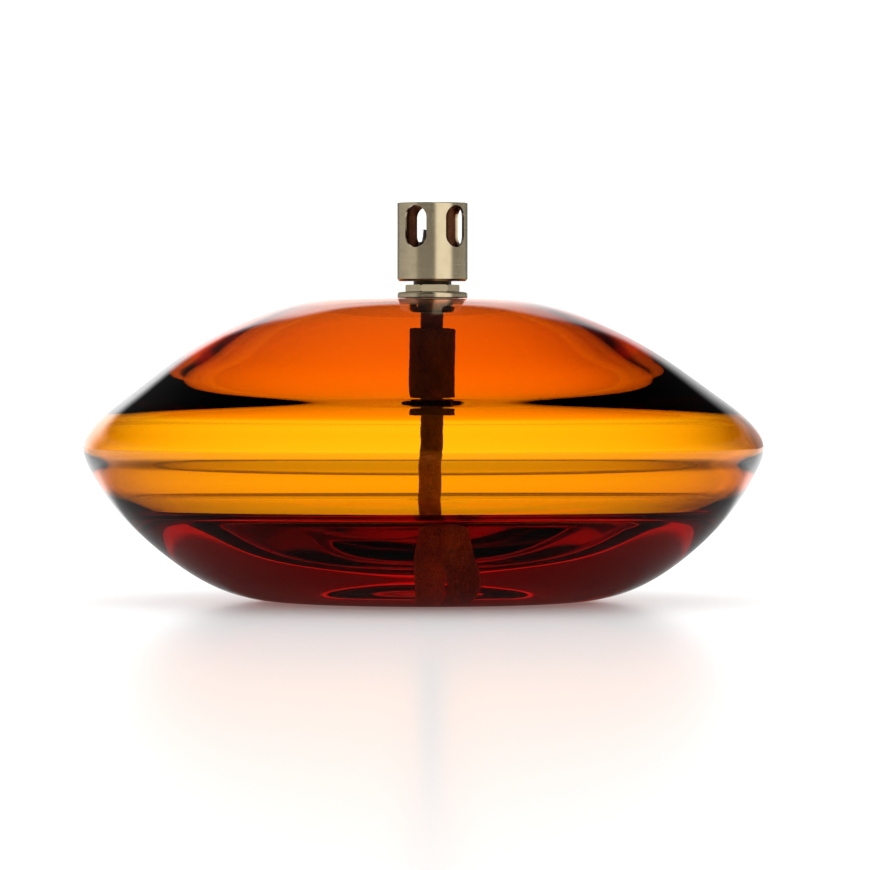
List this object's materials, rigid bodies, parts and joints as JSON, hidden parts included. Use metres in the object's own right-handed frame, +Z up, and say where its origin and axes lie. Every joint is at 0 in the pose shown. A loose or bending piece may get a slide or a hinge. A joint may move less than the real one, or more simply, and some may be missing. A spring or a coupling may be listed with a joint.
{
  "type": "oil lamp",
  "caption": "Lens-shaped hand-blown amber glass oil lamp, part filled with oil, with a turned brass burner, a slotted flame guard and a round glass-fibre wick.",
  "frame": {"origin": "centre of the flat base, on the surface that the lamp stands on", "axes": "+Z up the burner's axis, -Y towards the front"},
  "size_m": [0.243, 0.2428, 0.142],
  "materials": {
    "amber_glass": "gloss",
    "lamp_oil": "gloss",
    "satin_brass": "satin",
    "dark_brass": "satin",
    "wick_braid": "matte",
    "sleeve_braid": "matte"
  },
  "bodies": {
    "vessel": {"glass_reservoir": "amber_glass", "lamp_oil": "lamp_oil"},
    "burner": {"burner_flange": "satin_brass", "lock_nut": "satin_brass", "burner_stem": "dark_brass", "vent_collar": "dark_brass", "wick_tube": "dark_brass"},
    "guard": {"flame_guard": "satin_brass"},
    "wick": {"wick": "wick_braid", "wick_sleeve": "sleeve_braid"}
  },
  "joints": [
    {"name": "burner_lift", "type": "slide", "parent": "vessel", "child": "burner", "axis": [0, 0, 1], "range_m": [0, 0.115], "deforming": ["wick"]},
    {"name": "flame_guard_lift", "type": "slide", "parent": "burner", "child": "guard", "axis": [0, 0, 1], "range_m": [0, 0.03]},
    {"name": "wick_feed", "type": "slide", "parent": "burner", "child": "wick", "axis": [0, 0, 1], "range_m": [-0.002, 0.004]}
  ]
}
